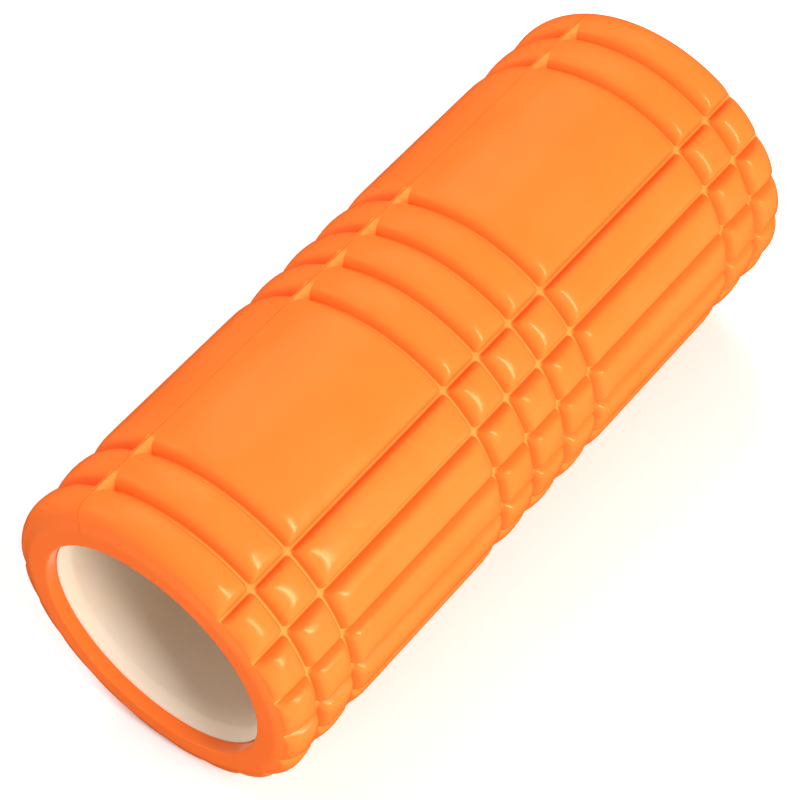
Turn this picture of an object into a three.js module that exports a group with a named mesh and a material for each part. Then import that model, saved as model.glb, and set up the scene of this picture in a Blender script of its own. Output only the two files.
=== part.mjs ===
// Foam roller: a moulded foam sheet wrapped round a hollow rigid tube and bonded to it.
//
// Millimetres. The roller lies on its side on the plane z = 0, resting on two of its ribs.
// +X runs along the roller, +Z is up, and the middle of its length is at x = 0.
//
// The sheet carries a pattern of raised pads with grooves between them. Along the roller the
// grooves make narrow rings and two long panels. Round the roller they make narrow ribs and,
// on each side of the seam where the sheet's two edges meet, one wide column.

import * as THREE from "three";

// ---------- driving dimensions ----------

const LENGTH = 330;
const CROWN_RADIUS = 70; // outside of the pads
const BORE_RADIUS = 52.3; // inside of the foam sheet
const GROOVE_DEPTH = 5.6;
const GROOVE_FLOOR = 0.9; // width of the flat at the bottom of a groove
const SHOULDER_LENGTH = 8.6; // rounding of the pads at each end, along the roller
const SHOULDER_HEIGHT = 5.3; // and across it, down to a crease round the end face
const CREASE_SET_BACK = 1.3; // from the flat of the end face to that crease
const FACE_RADIUS = 60.6; // outer edge of the flat of the end face

const RING_PITCH = 20.8; // one narrow ring and its groove
const PANEL_LENGTH = 93.7; // one long panel and its groove
const RIB_COUNT = 13; // narrow ribs round the roller
const WIDE_COLUMN_RIBS = 3.5; // a wide column is this many ribs wide
const WIDE_COLUMN_COUNT = 2;

const FLANK_REACH = 9.9; // distance from a groove's foot to the full height of a pad
const WALL_WIDTH = 2.4; // the steep foot of a flank
const WALL_SHARE = 0.38; // how much of the groove's depth that foot adds to the rounded rise
const WALL_KNEE = 0.45; // how softly the foot ends, as a share of its width
const FOOT_BLEND = 3; // how softly two flanks of a pad meet at their foot
const CREST_BLEND = 1.2; // and higher up
const BLEND_RISE = 3; // distance inside the pad over which one changes into the other

const SEAM_GAP = 0.3; // between the sheet's two edges
const SEAM_LIP = 0.6; // thin wall that closes the grooves at each edge of the sheet
const LIP_FOOT = 1.7; // run of the steep face behind that wall
const SEAM_TILT = 27; // degrees from the top of the roller to the seam, away from the front

const BORE_FIT_GAP = 0.55; // clearance between the foam's faceted bore and the adhesive
const TUBE_FIT_GAP = 0.35; // clearance between the adhesive and the tube
const BOND_THICKNESS = 0.3;
const BOND_CHAMFER = 0.05;
const TUBE_WALL = 2.6;
const TUBE_RECESS = 5.5; // the tube's ends sit this far inside the foam's end faces
const BOND_RECESS = 8; // the adhesive stops this far inside the foam's end faces
const TUBE_CHAMFER = 0.5;
const TUBE_SEGMENTS = 72;

// ---------- values worked out from them ----------

const RADIANS = Math.PI / 180;
const FULL_TURN = 360;
const MID_RADIUS = CROWN_RADIUS - GROOVE_DEPTH / 2;
const RIB_ANGLE = FULL_TURN / (RIB_COUNT + WIDE_COLUMN_COUNT * WIDE_COLUMN_RIBS);
const WIDE_ANGLE = RIB_ANGLE * WIDE_COLUMN_RIBS;
const DEGREES_PER_MM = 1 / (MID_RADIUS * RADIANS);
const BOND_OUTER_RADIUS = BORE_RADIUS - BORE_FIT_GAP;
const TUBE_OUTER_RADIUS = BOND_OUTER_RADIUS - BOND_THICKNESS - TUBE_FIT_GAP;

// Where the ring grooves cross the length, and where the long grooves stand round the roller,
// as angles from the seam.
const INNER_GROOVES = [RING_PITCH / 2, RING_PITCH * 1.5];
const OUTER_GROOVES = INNER_GROOVES.map((x) => x + RING_PITCH + PANEL_LENGTH);
const RING_GROOVES = [...INNER_GROOVES, ...OUTER_GROOVES].flatMap((x) => [-x, x]).sort((a, b) => a - b);
const RIB_GROOVES = Array.from({ length: RIB_COUNT + 1 }, (_, index) => WIDE_ANGLE + index * RIB_ANGLE);

// Mesh lines beside each groove, as distances in mm from its middle.
const RING_FLANK_LINES = [0.45, 2.4];
const RIB_FLANK_LINES = [0.5, 2.5];
const PAD_EDGE_LINE = 10.2;
const WIDE_COLUMN_STEPS = 4;
const SHOULDER_STEPS = 3;

// ---------- the pad pattern ----------

function nearest(value, grooves) {
  return Math.min(...grooves.map((groove) => Math.abs(value - groove)));
}

// The smaller of two values, rounded off where they differ by less than the blend.
function softMinimum(first, second, blend) {
  const overlap = Math.max(blend - Math.abs(first - second), 0);
  return Math.min(first, second) - (overlap * overlap) / (4 * blend);
}

// Distance from a pad's own outline, from its distances to the nearest groove each way.
function distanceInsidePad(alongLength, roundRoller) {
  const fromFoot = THREE.MathUtils.clamp(Math.min(alongLength, roundRoller) / BLEND_RISE, 0, 1);
  const blend = THREE.MathUtils.lerp(FOOT_BLEND, CREST_BLEND, fromFoot);
  return softMinimum(alongLength, roundRoller, blend);
}

// Share of the full pad height at a distance inside the pad's outline: 0 on the floor, 1 on top.
function flankHeight(distance) {
  const inward = THREE.MathUtils.clamp(distance / FLANK_REACH, 0, 1);
  const rounded = Math.sqrt(1 - (1 - inward) ** 2);
  const wall = softMinimum(Math.max(distance, 0) / WALL_WIDTH, 1, WALL_KNEE);
  return (1 - WALL_SHARE) * rounded + WALL_SHARE * wall;
}

function grooveDepthAt(x, angle) {
  const fromSeam = Math.min(angle, FULL_TURN - angle) / DEGREES_PER_MM;
  if (fromSeam < SEAM_GAP / 2 + SEAM_LIP + LIP_FOOT / 2) {
    return 0;
  }
  const alongLength = nearest(x, RING_GROOVES) - GROOVE_FLOOR / 2;
  const roundRoller = nearest(angle, RIB_GROOVES) / DEGREES_PER_MM - GROOVE_FLOOR / 2;
  return GROOVE_DEPTH * (1 - flankHeight(distanceInsidePad(alongLength, roundRoller)));
}

// ---------- mesh lines of the sheet ----------

// Angles from the seam at which the sheet is sectioned.
function sectionAngles() {
  const lip = SEAM_GAP / 2 + SEAM_LIP;
  const wideColumn = [SEAM_GAP / 2, lip, lip + LIP_FOOT].map((mm) => mm * DEGREES_PER_MM);
  const crownStart = wideColumn.at(-1);
  const crownEnd = WIDE_ANGLE - PAD_EDGE_LINE * DEGREES_PER_MM;
  for (let step = 1; step <= WIDE_COLUMN_STEPS; step += 1) {
    wideColumn.push(crownStart + ((crownEnd - crownStart) * step) / WIDE_COLUMN_STEPS);
  }
  const flanks = RIB_FLANK_LINES.map((mm) => mm * DEGREES_PER_MM);
  wideColumn.push(...flanks.map((offset) => WIDE_ANGLE - offset).reverse());

  const ribs = [];
  for (const groove of RIB_GROOVES.slice(0, -1)) {
    const nextGroove = groove + RIB_ANGLE;
    ribs.push(groove, ...flanks.map((offset) => groove + offset), groove + RIB_ANGLE / 2);
    ribs.push(...flanks.map((offset) => nextGroove - offset).reverse());
  }
  const mirrored = wideColumn.map((angle) => FULL_TURN - angle).reverse();
  return [...wideColumn, ...ribs, RIB_GROOVES.at(-1), ...mirrored];
}

// Places along the outside from the -X end to the +X end: the position, the pads' full radius
// there, and how much of the groove depth is left.
function outerStations() {
  const flat = [];
  for (const [index, groove] of RING_GROOVES.entries()) {
    const next = RING_GROOVES[index + 1];
    flat.push(...RING_FLANK_LINES.map((mm) => groove - mm).reverse(), groove);
    flat.push(...RING_FLANK_LINES.map((mm) => groove + mm));
    if (next === undefined) {
      continue;
    }
    const isPanel = next - groove > 2 * RING_PITCH;
    flat.push(...(isPanel ? [groove + PAD_EDGE_LINE, next - PAD_EDGE_LINE] : [(groove + next) / 2]));
  }
  const stations = flat.map((x) => ({ x, radius: CROWN_RADIUS, share: 1 }));
  for (const side of [-1, 1]) {
    const shoulder = [];
    for (let step = 0; step <= SHOULDER_STEPS; step += 1) {
      const turn = (Math.PI / 2) * (step / SHOULDER_STEPS);
      shoulder.push({
        x: side * (LENGTH / 2 - CREASE_SET_BACK - SHOULDER_LENGTH * (1 - Math.sin(turn))),
        radius: CROWN_RADIUS - SHOULDER_HEIGHT * (1 - Math.cos(turn)),
        share: Math.cos(turn),
      });
    }
    shoulder.push({ x: (side * LENGTH) / 2, radius: FACE_RADIUS, share: 0 });
    if (side < 0) {
      stations.unshift(...shoulder.reverse());
    } else {
      stations.push(...shoulder);
    }
  }
  return stations;
}

// One section of the sheet: its outside from end to end, then back along the bore.
// Each point is a distance along the roller and a distance from its axis.
function sheetSection(angle, stations) {
  const outside = stations.map((station) => {
    const depth = grooveDepthAt(station.x, angle) * station.share;
    return new THREE.Vector2(station.x, station.radius - depth);
  });
  const bore = [LENGTH / 2, -LENGTH / 2].map((x) => new THREE.Vector2(x, BORE_RADIUS));
  return [...outside, ...bore];
}

// ---------- geometry ----------

function foamSleeveGeometry() {
  const stations = outerStations();
  const sections = sectionAngles().map((angle) => ({ angle, points: sheetSection(angle, stations) }));
  const ringSize = sections[0].points.length;

  const positions = [];
  for (const { angle, points } of sections) {
    const turn = (angle - SEAM_TILT) * RADIANS;
    for (const point of points) {
      positions.push(point.x, -point.y * Math.sin(turn), point.y * Math.cos(turn));
    }
  }

  const indices = [];
  for (let section = 0; section < sections.length - 1; section += 1) {
    for (let corner = 0; corner < ringSize; corner += 1) {
      const here = section * ringSize + corner;
      const beside = section * ringSize + ((corner + 1) % ringSize);
      indices.push(here, here + ringSize, beside, beside, here + ringSize, beside + ringSize);
    }
  }
  for (const [section, reversed] of [[0, false], [sections.length - 1, true]]) {
    const first = section * ringSize;
    for (const [a, b, c] of THREE.ShapeUtils.triangulateShape(sections[section].points, [])) {
      indices.push(first + a, first + (reversed ? b : c), first + (reversed ? c : b));
    }
  }

  const geometry = new THREE.BufferGeometry();
  geometry.setAttribute("position", new THREE.Float32BufferAttribute(positions, 3));
  geometry.setIndex(indices);
  geometry.computeVertexNormals();
  return geometry;
}

// A plain tube along X with small chamfers on the four edges of its ends.
function tubeGeometry(length, outerRadius, innerRadius, chamfer) {
  const half = length / 2;
  const corners = [
    [innerRadius + chamfer, -half], [outerRadius - chamfer, -half],
    [outerRadius, -half + chamfer], [outerRadius, half - chamfer],
    [outerRadius - chamfer, half], [innerRadius + chamfer, half],
    [innerRadius, half - chamfer], [innerRadius, -half + chamfer],
  ];
  const profile = [...corners, corners[0]].map(([radius, along]) => new THREE.Vector2(radius, along));
  const geometry = new THREE.LatheGeometry(profile, TUBE_SEGMENTS);
  geometry.rotateZ(-Math.PI / 2);
  return geometry;
}

function coreTubeGeometry() {
  const length = LENGTH - 2 * TUBE_RECESS;
  return tubeGeometry(length, TUBE_OUTER_RADIUS, TUBE_OUTER_RADIUS - TUBE_WALL, TUBE_CHAMFER);
}

function bondLayerGeometry() {
  const length = LENGTH - 2 * BOND_RECESS;
  return tubeGeometry(length, BOND_OUTER_RADIUS, BOND_OUTER_RADIUS - BOND_THICKNESS, BOND_CHAMFER);
}

// ---------- assembly ----------

const foam = new THREE.MeshStandardMaterial({ color: 0xf07a2e, roughness: 0.55, metalness: 0 });
const tubePlastic = new THREE.MeshStandardMaterial({ color: 0xe2d0bd, roughness: 0.45, metalness: 0 });
const adhesive = new THREE.MeshStandardMaterial({ color: 0xd9c27e, roughness: 0.35, metalness: 0 });

function namedMesh(name, geometry, material) {
  const mesh = new THREE.Mesh(geometry, material);
  mesh.name = name;
  return mesh;
}

const sleeve = foamSleeveGeometry();
sleeve.computeBoundingBox();

const roller = new THREE.Group();
roller.add(namedMesh("foam_sleeve", sleeve, foam));
roller.add(namedMesh("bond_layer", bondLayerGeometry(), adhesive));
roller.add(namedMesh("core_tube", coreTubeGeometry(), tubePlastic));
roller.position.z = -sleeve.boundingBox.min.z; // the lowest ribs touch z = 0

export default roller;
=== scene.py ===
"""Foam roller: a moulded foam sheet wrapped round and bonded to a plain plastic pipe.

Lengths inside the shape functions are millimetres, as in the CAD part. Every mesh is made in
metres, in the part's own frame: +X along the roller, +Z up, the lowest ribs at z = 0.
"""
import math

import bpy
import numpy as np
from mathutils import Matrix, Vector


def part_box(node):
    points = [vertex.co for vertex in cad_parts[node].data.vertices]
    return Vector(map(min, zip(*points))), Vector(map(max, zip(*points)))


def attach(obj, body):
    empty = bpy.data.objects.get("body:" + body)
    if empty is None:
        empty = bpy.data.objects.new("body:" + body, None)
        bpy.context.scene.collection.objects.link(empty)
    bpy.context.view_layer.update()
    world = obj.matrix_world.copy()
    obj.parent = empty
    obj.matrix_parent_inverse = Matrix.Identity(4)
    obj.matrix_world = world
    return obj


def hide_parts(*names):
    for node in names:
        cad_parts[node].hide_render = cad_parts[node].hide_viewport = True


MM = 0.001
FULL_TURN = 360.0  # degrees
QUARTER_TURN = math.pi / 2

# ---------- sizes of the roller, in mm ----------

LENGTH = 330.0
CROWN_RADIUS = 70.0  # outside of the pads
BORE_RADIUS = 52.3  # inside of the foam sheet
BORE_EDGE_RADIUS = 0.6
GROOVE_DEPTH = 5.6
GROOVE_FLOOR = 0.9  # width of the flat at the bottom of a groove
SHOULDER_LENGTH = 8.6  # rounding of the pads at each end, along the roller
SHOULDER_HEIGHT = 5.3  # and across it, down to a crease round the end face
CREASE_SET_BACK = 1.3  # from the flat of the end face to that crease
CREASE_CURVE = 1.5  # power of the curve from the crease out to the flat
FACE_RADIUS = 60.6  # outer edge of the flat of the end face
RING_PITCH = 20.8  # one narrow ring and its groove
PANEL_LENGTH = 93.7  # one long panel and its groove
RIB_COUNT = 13  # narrow ribs round the roller
WIDE_COLUMN_RIBS = 3.5  # each of the two wide columns is this many ribs wide
FLANK_REACH = 9.9  # distance from a groove's foot to the full height of a pad
WALL_WIDTH = 2.4  # the steep foot of a flank
WALL_SHARE = 0.38  # how much of the groove's depth that foot adds to the rounded rise
WALL_KNEE = 0.45  # how softly the foot ends, as a share of its width
FOOT_BLEND = 3.0  # how softly two flanks of a pad meet at their foot
CREST_BLEND = 1.2  # and higher up
BLEND_RISE = 3.0  # distance inside the pad over which one changes into the other

SEAM_TILT = 27.0  # degrees from the top of the roller to the seam, away from the camera
SEAM_LIP = 0.6  # thin wall that closes the grooves at each edge of the sheet
LIP_FOOT = 1.7  # run of the steep face behind that wall
SEAM_EDGE_RADIUS = 0.45  # rounding of the sheet's two edges, where they are glued together

PIPE_END = 159.5
PIPE_OUTER_RADIUS = 52.1
PIPE_INNER_RADIUS = 49.2
PIPE_LIP = 0.12  # width of the thin lip left at the pipe's end
PIPE_FLARE = 6.0  # length over which the bore opens out at each end
FLARE_CURVE = 1.3  # power of the curve by which it does
FILM_MARGIN = 0.02  # the adhesive film stays this far from the foam and the pipe
FILM_SET_BACK = 2.5  # from the pipe's end to the film's
FILM_FLARE = 0.4

# Painted light: the foam is coloured paler on the grooves' floors and behind the lip, standing in
# for the light those places catch. They are also rougher.
FLOOR_TOLERANCE = 0.02  # a point this close to a groove's full depth is on its floor
FLOOR_SHARE = 0.1  # the floor ends where a groove has run out to this share of its depth
LIP_SHOWS = 0.8  # the lip gets the painted light where a groove beside it is deeper than this

# ---------- worked out from them ----------

HALF_LENGTH = LENGTH / 2
MID_RADIUS = CROWN_RADIUS - GROOVE_DEPTH / 2
MM_PER_DEGREE = math.radians(MID_RADIUS)
RIB_ANGLE = FULL_TURN / (RIB_COUNT + 2 * WIDE_COLUMN_RIBS)
WIDE_ANGLE = RIB_ANGLE * WIDE_COLUMN_RIBS

INNER_RINGS = [RING_PITCH * 0.5, RING_PITCH * 1.5]
OUTER_RINGS = [x + RING_PITCH + PANEL_LENGTH for x in INNER_RINGS]
RIGHT_RINGS = np.array(INNER_RINGS + OUTER_RINGS)
RING_GROOVES = np.concatenate([-RIGHT_RINGS[::-1], RIGHT_RINGS])
RIB_GROOVES = WIDE_ANGLE + RIB_ANGLE * np.arange(RIB_COUNT + 1)  # degrees from the seam

# ---------- mesh lines ----------

FLANK_LINES = np.array([0.25, 0.45, 0.65, 1.1, 1.7, 2.25, 2.8, 4.0, 5.8, 8.2])  # mm from a groove
EDGE_LINES = np.array([0.0, 0.1, 0.25, 0.45, 0.7, 1.0])  # shares of the sheet's rounded edge
LIP_LINES = np.array([0.0, 0.03, 0.08, 0.5, 0.92, 0.97, 1.0, 1.04])  # shares of the lip's foot
CREASE_LINES = (0.08, 0.3, 0.6, 0.85, 1.0)  # shares of the way from the crease to the flat
FLARE_LINES = (0.0, 0.25, 0.5, 0.75, 0.9, 1.0)  # shares of a pipe's flare
BORE_LINES = (HALF_LENGTH - 2.5, PIPE_END - 2.0)  # the last one is hidden behind the pipe
PAD_STEP = 2.2  # across a narrow pad, mm
WIDE_STEP = 2.6  # round a wide column
PANEL_STEP = 6.0  # along a long panel
PIPE_STEP = 12.0  # along a pipe
PIPE_SEGMENTS = 256
SHOULDER_POINTS = 14
FACE_POINTS = 6
BORE_EDGE_POINTS = 6

# ---------- finishes (linear colours; a pair of numbers is a range) ----------

NOISE_RANGE = (0.3, 0.7)  # nearly all of a noise's values lie between these

FOAM_DEEP = (0.93, 0.155, 0.022)
FOAM_PALE = (0.95, 0.170, 0.027)
# paler foam: the painted light on the grooves' floors and behind the lip, and fine random flecks
FOAM_FLECK_AND_PAINTED_LIGHT = (0.97, 0.235, 0.042)
FOAM_ROUGHNESS = (0.18, 0.25)
FLOOR_AND_LIP_ROUGHNESS = 0.55
FOAM_SPECULAR = 0.46
FOAM_GLOSS = (1.0, 1.0, 0.62)  # tint of its highlights
PIPE_PALE = (0.79, 0.675, 0.545)
PIPE_DEEP = (0.80, 0.64, 0.47)
PIPE_ROUGHNESS = (0.37, 0.50)
ADHESIVE_DEEP = (0.62, 0.45, 0.15)
ADHESIVE_PALE = (0.76, 0.62, 0.27)
ADHESIVE_ROUGHNESS = (0.22, 0.40)
FLOOR_GREY = (0.90, 0.90, 0.90)
FLOOR_PALE = (0.93, 0.93, 0.93)
FLOOR_ROUGHNESS = (0.85, 0.95)
FLOOR_SPECULAR = 0.2
WHITE = (1.0, 1.0, 1.0)
KEY_COLOUR = (1.0, 0.97, 0.80)

# ---------- studio, in metres ----------

CAMERA_PLACE = Vector((-0.56578, -0.45756, 0.98192))
CAMERA_AIM = Vector((-0.00966, 0.00128, 0.06392))
CAMERA_ROLL = math.radians(-2.0)
CAMERA_LENS = 129.43
CAMERA_SENSOR = 36.0
LAMP_AIM = Vector((0.0, 0.0, 0.07))
LAMP_DISTANCE = 1.6
FLOOR_HALF_WIDTH = 1.3  # the lamps light the floor this far out
SURROUND_LIGHT = 0.25  # how bright the surround is as a light on the roller
SURROUND_SEEN = 0.95  # and to the camera


# ---------- shape of the foam sheet ----------

def distance_to_nearest(values, grooves):
    return np.abs(values[:, None] - grooves[None, :]).min(axis=1)


def soft_minimum(first, second, blend):
    """The smaller of two values, rounded off where they differ by less than blend."""
    overlap = np.maximum(blend - np.abs(first - second), 0.0)
    return np.minimum(first, second) - overlap ** 2 / (4 * blend)


def quarter_round(share):
    """Height of a quarter circle: 0 and steep where share is 0, level at 1 from share 1 on."""
    return np.sqrt(1 - (1 - np.clip(share, 0.0, 1.0)) ** 2)


def distance_inside_pad(along_length, round_roller):
    """Distance from a pad's outline, softened where two of its flanks meet."""
    from_foot = np.clip(np.minimum(along_length, round_roller) / BLEND_RISE, 0.0, 1.0)
    blend = FOOT_BLEND + (CREST_BLEND - FOOT_BLEND) * from_foot
    return soft_minimum(along_length, round_roller, blend)


def flank_height(distance):
    """Share of a pad's full height: 0 at the foot of its flank, 1 on its top."""
    wall = soft_minimum(np.maximum(distance, 0.0) / WALL_WIDTH, 1.0, WALL_KNEE)
    return (1 - WALL_SHARE) * quarter_round(distance / FLANK_REACH) + WALL_SHARE * wall


def groove_depth(x, angle):
    """Depth of the grooves, were they open at the seam, for places x and angles from the seam."""
    along_length = distance_to_nearest(x, RING_GROOVES) - GROOVE_FLOOR / 2
    round_roller = distance_to_nearest(angle, RIB_GROOVES) * MM_PER_DEGREE - GROOVE_FLOOR / 2
    inside = distance_inside_pad(along_length[None, :], round_roller[:, None])
    return GROOVE_DEPTH * (1 - flank_height(inside))


def distance_from_seam(angle):
    return np.minimum(angle, FULL_TURN - angle)[:, None] * MM_PER_DEGREE


def behind_lip(angle):
    """How far down the seam's lip a place is: 0 on its top, 1 at and beyond its foot."""
    return np.clip((distance_from_seam(angle) - SEAM_LIP) / LIP_FOOT, 0.0, 1.0)


def seam_depth(angle):
    """Depth of the fine notch between the sheet's two rounded edges."""
    return SEAM_EDGE_RADIUS * (1 - quarter_round(distance_from_seam(angle) / SEAM_EDGE_RADIUS))


def spread(first, last, step):
    """Evenly spaced values strictly between two ends, about one step apart."""
    count = max(int(round((last - first) / step)), 1)
    return np.linspace(first, last, count + 1)[1:-1]


def between_grooves(first, last, middle_step):
    """Mesh lines from one groove's middle up to, but without, the next one's."""
    start = first + np.concatenate([[0.0], FLANK_LINES])
    end = last - FLANK_LINES[::-1]
    return np.concatenate([start, spread(start[-1], end[0], middle_step), end])


def section_angles():
    """Angles from the seam of the mesh lines that run along the roller."""
    edge = SEAM_EDGE_RADIUS * EDGE_LINES
    lip = SEAM_LIP + LIP_FOOT * LIP_LINES
    last_flank = WIDE_ANGLE * MM_PER_DEGREE - FLANK_LINES[::-1]
    top = spread(lip[-1], last_flank[0], WIDE_STEP)
    wide = np.concatenate([edge, lip, top, last_flank]) / MM_PER_DEGREE
    grooves = RIB_GROOVES * MM_PER_DEGREE
    ribs = [between_grooves(a, b, PAD_STEP) / MM_PER_DEGREE for a, b in zip(grooves, grooves[1:])]
    mirrored = FULL_TURN - wide[:0:-1]
    return np.concatenate([wide, *ribs, [RIB_GROOVES[-1]], mirrored])


def crown_lines():
    """Places along the roller of the mesh lines that run round it, between its shoulders."""
    pads = [between_grooves(a, b, PANEL_STEP if b - a > 2 * RING_PITCH else PAD_STEP)
            for a, b in zip(RING_GROOVES, RING_GROOVES[1:])]
    first, last = RING_GROOVES[0], RING_GROOVES[-1]
    return np.concatenate([first - FLANK_LINES[::-1], *pads, [last], last + FLANK_LINES])


def sheet_end():
    """The profile's rows over one shoulder, down the end face and into the bore."""
    rows = []
    for turn in np.linspace(0.0, QUARTER_TURN, SHOULDER_POINTS):
        x = HALF_LENGTH - CREASE_SET_BACK - SHOULDER_LENGTH * (1 - math.sin(turn))
        radius = CROWN_RADIUS - SHOULDER_HEIGHT * (1 - math.cos(turn))
        rows.append((x, radius, math.sin(turn), math.cos(turn), math.cos(turn)))
    crease_radius = CROWN_RADIUS - SHOULDER_HEIGHT
    for way in CREASE_LINES:
        x = HALF_LENGTH - CREASE_SET_BACK * (1 - way) ** CREASE_CURVE
        rows.append((x, crease_radius + (FACE_RADIUS - crease_radius) * way, 1.0, 0.0, 0.0))
    face_inner = BORE_RADIUS + BORE_EDGE_RADIUS
    for radius in np.linspace(FACE_RADIUS, face_inner, FACE_POINTS)[1:]:
        rows.append((HALF_LENGTH, radius, 1.0, 0.0, 0.0))
    for turn in np.linspace(0.0, QUARTER_TURN, BORE_EDGE_POINTS)[1:]:
        x = HALF_LENGTH - BORE_EDGE_RADIUS * (1 - math.cos(turn))
        radius = face_inner - BORE_EDGE_RADIUS * math.sin(turn)
        rows.append((x, radius, math.cos(turn), -math.sin(turn), 0.0))
    for x in BORE_LINES:
        rows.append((x, BORE_RADIUS, 0.0, -1.0, 0.0))
    return rows


def sheet_profile():
    """Rows of x, radius, way out of the foam (x, radius) and groove share, from end to end."""
    crown = [(x, CROWN_RADIUS, 0.0, 1.0, 1.0) for x in crown_lines()]
    end = sheet_end()
    other_end = [(-x, r, -out_x, out_r, share) for x, r, out_x, out_r, share in reversed(end)]
    return np.array(other_end + crown + end)


def round_axis(x, radius, angles):
    """Points at places x along the axis and at angles, in degrees, from the roller's top."""
    turn = np.radians(angles)[:, None]
    y, z = -radius * np.sin(turn), radius * np.cos(turn)
    return np.stack([np.broadcast_to(x, y.shape), y, z], axis=2)


def foam_points():
    """The sheet's points, by section and along each one, and a mask of the painted light on the
    groove floors and behind the lip.
    """
    angles = section_angles()
    x, radius, out_x, out_radius, share = sheet_profile().T
    grooves, lip = groove_depth(x, angles), behind_lip(angles)
    pattern = grooves * lip
    notch = seam_depth(angles) * (radius > BORE_RADIUS + BORE_EDGE_RADIUS / 2)
    surface_radius = radius - pattern * share - out_radius * notch
    points = round_axis(x - out_x * notch, surface_radius, angles - SEAM_TILT)
    on_floor = pattern > GROOVE_DEPTH - FLOOR_TOLERANCE
    on_lip = (grooves > LIP_SHOWS) & (lip > 0) & (lip < 1)
    # painted light: these places are coloured paler, standing in for the light the groove floors
    # and the lip's face catch
    painted_light_mask = (on_floor | on_lip) & (share > FLOOR_SHARE)
    return points, painted_light_mask.astype(float)


# ---------- meshes ----------

def mesh_object(name, points, faces):
    mesh = bpy.data.meshes.new(name)
    mesh.from_pydata(points, [], faces)
    mesh.update()
    mesh.shade_smooth()
    piece = bpy.data.objects.new(name, mesh)
    bpy.context.scene.collection.objects.link(piece)
    return piece


def wrapped_faces(sections, size):
    """Quads between closed sections that follow one another round the roller."""
    section, corner = np.meshgrid(np.arange(sections), np.arange(size), indexing="ij")
    after, beside = (section + 1) % sections, (corner + 1) % size
    quads = np.stack([section * size + corner, after * size + corner,
                      after * size + beside, section * size + beside], axis=2)
    return quads.reshape(-1, 4)


def wrapped_mesh(name, points, axis_height):
    """A mesh of closed sections round the axis, in metres and lifted to the axis's height."""
    sections, size = points.shape[:2]
    placed = points.reshape(-1, 3) * MM + (0.0, 0.0, axis_height)
    return mesh_object(name, placed.tolist(), wrapped_faces(sections, size).tolist())


def make_foam(axis_height):
    points, painted_light_mask = foam_points()
    foam = wrapped_mesh("foam_sheet", points, axis_height)
    # mask of the painted light: a paler colour on the groove floors and behind the lip
    layer = foam.data.attributes.new("painted_light_floor_lip", "FLOAT", "POINT")
    layer.data.foreach_set("value", painted_light_mask.ravel())
    return foam


def pipe_profile(end, outer, inner, flare):
    """Closed profile of a pipe whose bore opens out at both ends, as (x, radius) pairs."""
    lip = outer - PIPE_LIP
    opening = [(end - flare * way, inner + (lip - inner) * (1 - way) ** FLARE_CURVE)
               for way in FLARE_LINES]
    right = [(end - PIPE_LIP, outer), (end, outer - PIPE_LIP / 2)] + opening
    left = [(-x, radius) for x, radius in reversed(right)]
    inside = [(x, inner) for x in spread(left[0][0], right[-1][0], PIPE_STEP)[::-1]]
    outside = [(x, outer) for x in spread(left[-1][0], right[0][0], PIPE_STEP)]
    return right + inside + left + outside


def make_pipe(name, axis_height, end, outer, inner, flare):
    x, radius = np.array(pipe_profile(end, outer, inner, flare)).T
    angles = np.linspace(0.0, FULL_TURN, PIPE_SEGMENTS, endpoint=False)
    return wrapped_mesh(name, round_axis(x, radius, angles), axis_height)


# ---------- materials ----------

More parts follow.
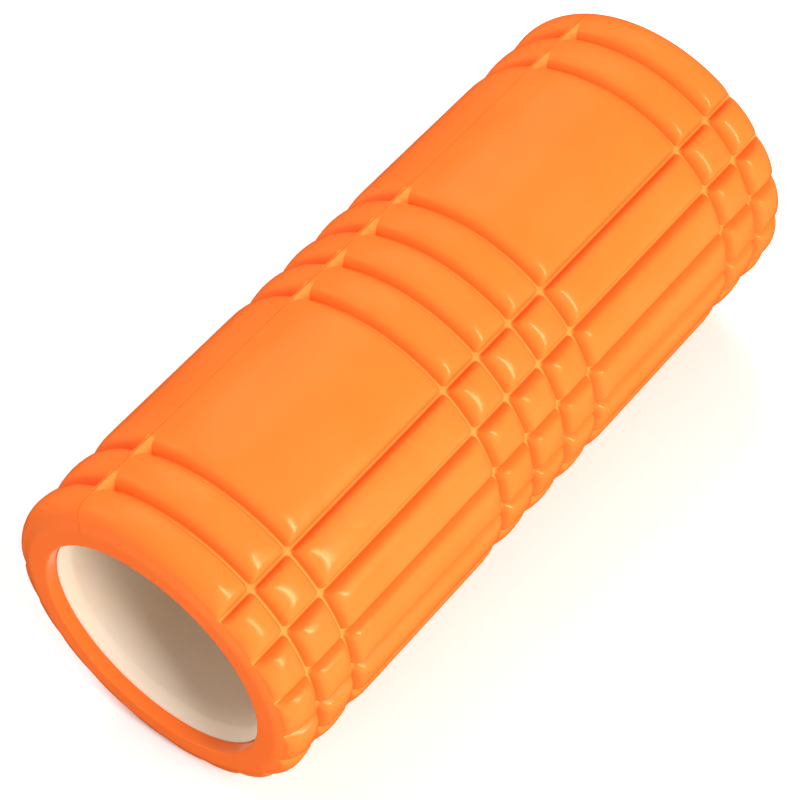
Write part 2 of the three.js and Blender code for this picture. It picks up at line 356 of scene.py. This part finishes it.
class Surface:
    """A new material with one Principled shader, and short ways to build what feeds it."""

    def __init__(self, name, specular=0.5):
        self.material = bpy.data.materials.new(name)
        self.material.use_nodes = True
        self.tree = self.material.node_tree
        self.tree.nodes.clear()
        self.shader = self.tree.nodes.new("ShaderNodeBsdfPrincipled")
        output = self.tree.nodes.new("ShaderNodeOutputMaterial")
        self.link(self.shader.outputs["BSDF"], output.inputs["Surface"])
        self.place = self.tree.nodes.new("ShaderNodeTexCoord").outputs["Object"]
        self.shader.inputs["Specular IOR Level"].default_value = specular
        self.normal = None

    def link(self, source, target):
        self.tree.links.new(source, target)

    def stretched(self, x, y, z):
        """Places squeezed along each axis, so that a noise on them stretches out."""
        node = self.tree.nodes.new("ShaderNodeMapping")
        node.inputs["Scale"].default_value = (x, y, z)
        self.link(self.place, node.inputs["Vector"])
        return node.outputs["Vector"]

    def noise(self, size, detail=2.0, place=None):
        """Noise with lumps of a size in metres."""
        node = self.tree.nodes.new("ShaderNodeTexNoise")
        node.inputs["Scale"].default_value = 1 / size
        node.inputs["Detail"].default_value = detail
        self.link(place or self.place, node.inputs["Vector"])
        return node.outputs["Fac"]

    def attribute(self, name):
        node = self.tree.nodes.new("ShaderNodeAttribute")
        node.attribute_name = name
        return node.outputs["Fac"]

    def between(self, noise, low, high):
        """A number that goes from low to high as the noise crosses its range."""
        node = self.tree.nodes.new("ShaderNodeMapRange")
        node.inputs["From Min"].default_value = NOISE_RANGE[0]
        node.inputs["From Max"].default_value = NOISE_RANGE[1]
        node.inputs["To Min"].default_value = low
        node.inputs["To Max"].default_value = high
        self.link(noise, node.inputs["Value"])
        return node.outputs["Result"]

    def toward(self, factor, value, target):
        """Another node's number, moved to a fixed target as the factor goes from 0 to 1."""
        node = self.tree.nodes.new("ShaderNodeMapRange")
        self.link(value, node.inputs["To Min"])
        node.inputs["To Max"].default_value = target
        self.link(factor, node.inputs["Value"])
        return node.outputs["Result"]

    def mixed(self, factor, first, second):
        """A colour from the first, which may be another node's output, to the second."""
        node = self.tree.nodes.new("ShaderNodeMix")
        node.data_type = "RGBA"
        sockets = {socket.identifier: socket for socket in [*node.inputs, *node.outputs]}
        self.link(factor, sockets["Factor_Float"])
        if isinstance(first, tuple):
            sockets["A_Color"].default_value = (*first, 1.0)
        else:
            self.link(first, sockets["A_Color"])
        sockets["B_Color"].default_value = (*second, 1.0)
        return sockets["Result_Color"]

    def bump(self, height, depth):
        """Relief of a depth in metres, on top of what was added before."""
        node = self.tree.nodes.new("ShaderNodeBump")
        node.inputs["Distance"].default_value = depth
        self.link(height, node.inputs["Height"])
        if self.normal:
            self.link(self.normal, node.inputs["Normal"])
        self.normal = node.outputs["Normal"]

    def finish(self, colour, roughness):
        self.link(colour, self.shader.inputs["Base Color"])
        self.link(roughness, self.shader.inputs["Roughness"])
        self.link(self.normal, self.shader.inputs["Normal"])
        return self.material


def foam_material():
    """Moulded closed-cell foam: a satin skin with a soft orange peel and a fine pebble, and
    painted light on the groove floors and behind the lip.
    """
    surface = Surface("eva_foam", FOAM_SPECULAR)
    surface.shader.inputs["Specular Tint"].default_value = (*FOAM_GLOSS, 1.0)
    clouds = surface.noise(30 * MM, detail=3.0)
    peel = surface.noise(4.5 * MM)
    pebble = surface.noise(1.1 * MM, detail=3.0)
    skin = surface.mixed(surface.between(clouds, 0.0, 1.0), FOAM_DEEP, FOAM_PALE)
    speckled = surface.mixed(surface.between(pebble, 0.0, 0.06), skin, FOAM_FLECK_AND_PAINTED_LIGHT)
    # painted light: a paler colour on the groove floors and behind the lip, standing in for the
    # light they catch; these places are also rougher
    painted_light_mask = surface.attribute("painted_light_floor_lip")
    colour = surface.mixed(painted_light_mask, speckled, FOAM_FLECK_AND_PAINTED_LIGHT)
    surface.bump(peel, 0.04 * MM)
    surface.bump(pebble, 0.01 * MM)
    satin = surface.between(peel, *FOAM_ROUGHNESS)
    return surface.finish(colour, surface.toward(painted_light_mask, satin, FLOOR_AND_LIP_ROUGHNESS))


def pipe_material():
    """Extruded plastic: pale beige, with faint draw lines along the pipe and a fine grain."""
    surface = Surface("pipe_plastic")
    draw_lines = surface.noise(1.6 * MM, place=surface.stretched(0.02, 1.0, 1.0))
    clouds = surface.noise(40 * MM)
    grain = surface.noise(0.7 * MM, detail=3.0)
    tone = surface.mixed(surface.between(clouds, 0.0, 1.0), PIPE_DEEP, PIPE_PALE)
    colour = surface.mixed(surface.between(draw_lines, 0.0, 0.25), tone, PIPE_DEEP)
    surface.bump(draw_lines, 0.03 * MM)
    surface.bump(grain, 0.02 * MM)
    return surface.finish(colour, surface.between(grain, *PIPE_ROUGHNESS))


def adhesive_material():
    """Set contact adhesive: clear amber, uneven where it squeezed out."""
    surface = Surface("contact_adhesive")
    lumps = surface.noise(4 * MM, detail=3.0)
    colour = surface.mixed(surface.between(lumps, 0.0, 1.0), ADHESIVE_DEEP, ADHESIVE_PALE)
    surface.bump(lumps, 0.1 * MM)
    return surface.finish(colour, surface.between(lumps, *ADHESIVE_ROUGHNESS))


def floor_material():
    """Plain pale matt floor."""
    surface = Surface("studio_floor", FLOOR_SPECULAR)
    clouds = surface.noise(250 * MM, detail=3.0)
    grain = surface.noise(2 * MM)
    colour = surface.mixed(surface.between(clouds, 0.0, 1.0), FLOOR_GREY, FLOOR_PALE)
    surface.bump(grain, 0.02 * MM)
    return surface.finish(colour, surface.between(grain, *FLOOR_ROUGHNESS))


# ---------- studio ----------

def make_camera():
    data = bpy.data.cameras.new("camera")
    data.sensor_width = CAMERA_SENSOR
    data.lens = CAMERA_LENS
    camera = bpy.data.objects.new("camera", data)
    bpy.context.scene.collection.objects.link(camera)
    aim = (CAMERA_AIM - CAMERA_PLACE).to_track_quat("-Z", "Y").to_matrix().to_4x4()
    roll = Matrix.Rotation(CAMERA_ROLL, 4, "Z")
    camera.matrix_world = Matrix.Translation(CAMERA_PLACE) @ aim @ roll
    bpy.context.scene.camera = camera


def make_floor(material):
    edge = FLOOR_HALF_WIDTH
    corners = [(-edge, -edge, 0), (edge, -edge, 0), (edge, edge, 0), (-edge, edge, 0)]
    floor = mesh_object("studio_floor", corners, [(0, 1, 2, 3)])
    floor.data.materials.append(material)
    floor.visible_glossy = False


def make_surround():
    """A plain pale surround: bright where the camera sees it, dim as a light on the roller."""
    world = bpy.data.worlds.new("studio")
    world.use_nodes = True
    tree = world.node_tree
    strength = tree.nodes.new("ShaderNodeMapRange")
    strength.inputs["To Min"].default_value = SURROUND_LIGHT
    strength.inputs["To Max"].default_value = SURROUND_SEEN
    rays = tree.nodes.new("ShaderNodeLightPath")
    tree.links.new(rays.outputs["Is Camera Ray"], strength.inputs["Value"])
    tree.links.new(strength.outputs["Result"], tree.nodes["Background"].inputs["Strength"])
    tree.nodes["Background"].inputs["Color"].default_value = (*WHITE, 1.0)
    bpy.context.scene.world = world
    world.cycles_visibility.glossy = False


def soft_box(name, azimuth, elevation, size, power, colour=WHITE, in_gloss=False):
    """A lamp on a sphere round the roller; azimuth runs from +Y to +X, both angles in degrees.

    Its size is its width and height. A lamp that isn't in the gloss lights the roller but leaves
    no reflection on it.
    """
    data = bpy.data.lights.new(name, "AREA")
    data.shape = "RECTANGLE"
    data.size, data.size_y = size
    data.energy = power
    data.color = colour
    lamp = bpy.data.objects.new(name, data)
    bpy.context.scene.collection.objects.link(lamp)
    around, up = math.radians(azimuth), math.radians(elevation)
    way = Vector((math.sin(around) * math.cos(up), math.cos(around) * math.cos(up), math.sin(up)))
    lamp.location = LAMP_AIM + way * LAMP_DISTANCE
    lamp.rotation_euler = (-way).to_track_quat("-Z", "Y").to_euler()
    lamp.visible_glossy = in_gloss


def make_lamps():
    soft_box("key", azimuth=167, elevation=33, size=(0.12, 1.30), power=11.5,
             colour=KEY_COLOUR, in_gloss=True)
    soft_box("front_fill", azimuth=199, elevation=34, size=(0.35, 0.60), power=22.0)
    soft_box("low_fill", azimuth=180, elevation=10, size=(0.60, 0.60), power=8.0)
    soft_box("back_fill", azimuth=42, elevation=44, size=(1.00, 1.00), power=22.0)
    soft_box("far_fill", azimuth=350, elevation=34, size=(0.60, 0.60), power=10.0)
    soft_box("left_fill", azimuth=315, elevation=34, size=(0.60, 0.60), power=1.5)
    soft_box("end_fill", azimuth=268, elevation=24, size=(0.60, 0.60), power=3.8)


def set_view():
    """Plain display colours, so that the foam keeps its full orange."""
    bpy.context.scene.view_settings.view_transform = "Standard"


# ---------- the scene ----------

def finish_piece(piece, material, replaced):
    piece.data.materials.append(material)
    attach(piece, "root")
    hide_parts(replaced)


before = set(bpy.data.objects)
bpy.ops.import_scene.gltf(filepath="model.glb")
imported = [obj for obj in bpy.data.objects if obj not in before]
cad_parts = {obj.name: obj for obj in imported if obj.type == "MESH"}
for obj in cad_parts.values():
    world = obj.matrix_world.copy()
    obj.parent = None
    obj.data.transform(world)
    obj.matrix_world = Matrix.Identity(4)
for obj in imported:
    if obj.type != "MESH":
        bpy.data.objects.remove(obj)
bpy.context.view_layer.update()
tube_low, tube_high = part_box("core_tube")
AXIS_HEIGHT = (tube_low.z + tube_high.z) / 2

foam = make_foam(AXIS_HEIGHT)
finish_piece(foam, foam_material(), "foam_sleeve")

pipe = make_pipe("core_pipe", AXIS_HEIGHT, PIPE_END, PIPE_OUTER_RADIUS, PIPE_INNER_RADIUS,
                 PIPE_FLARE)
finish_piece(pipe, pipe_material(), "core_tube")

adhesive = make_pipe("adhesive_film", AXIS_HEIGHT, PIPE_END - FILM_SET_BACK,
                     BORE_RADIUS - FILM_MARGIN, PIPE_OUTER_RADIUS + FILM_MARGIN, FILM_FLARE)
finish_piece(adhesive, adhesive_material(), "bond_layer")

make_floor(floor_material())
make_surround()
make_lamps()
make_camera()
set_view()
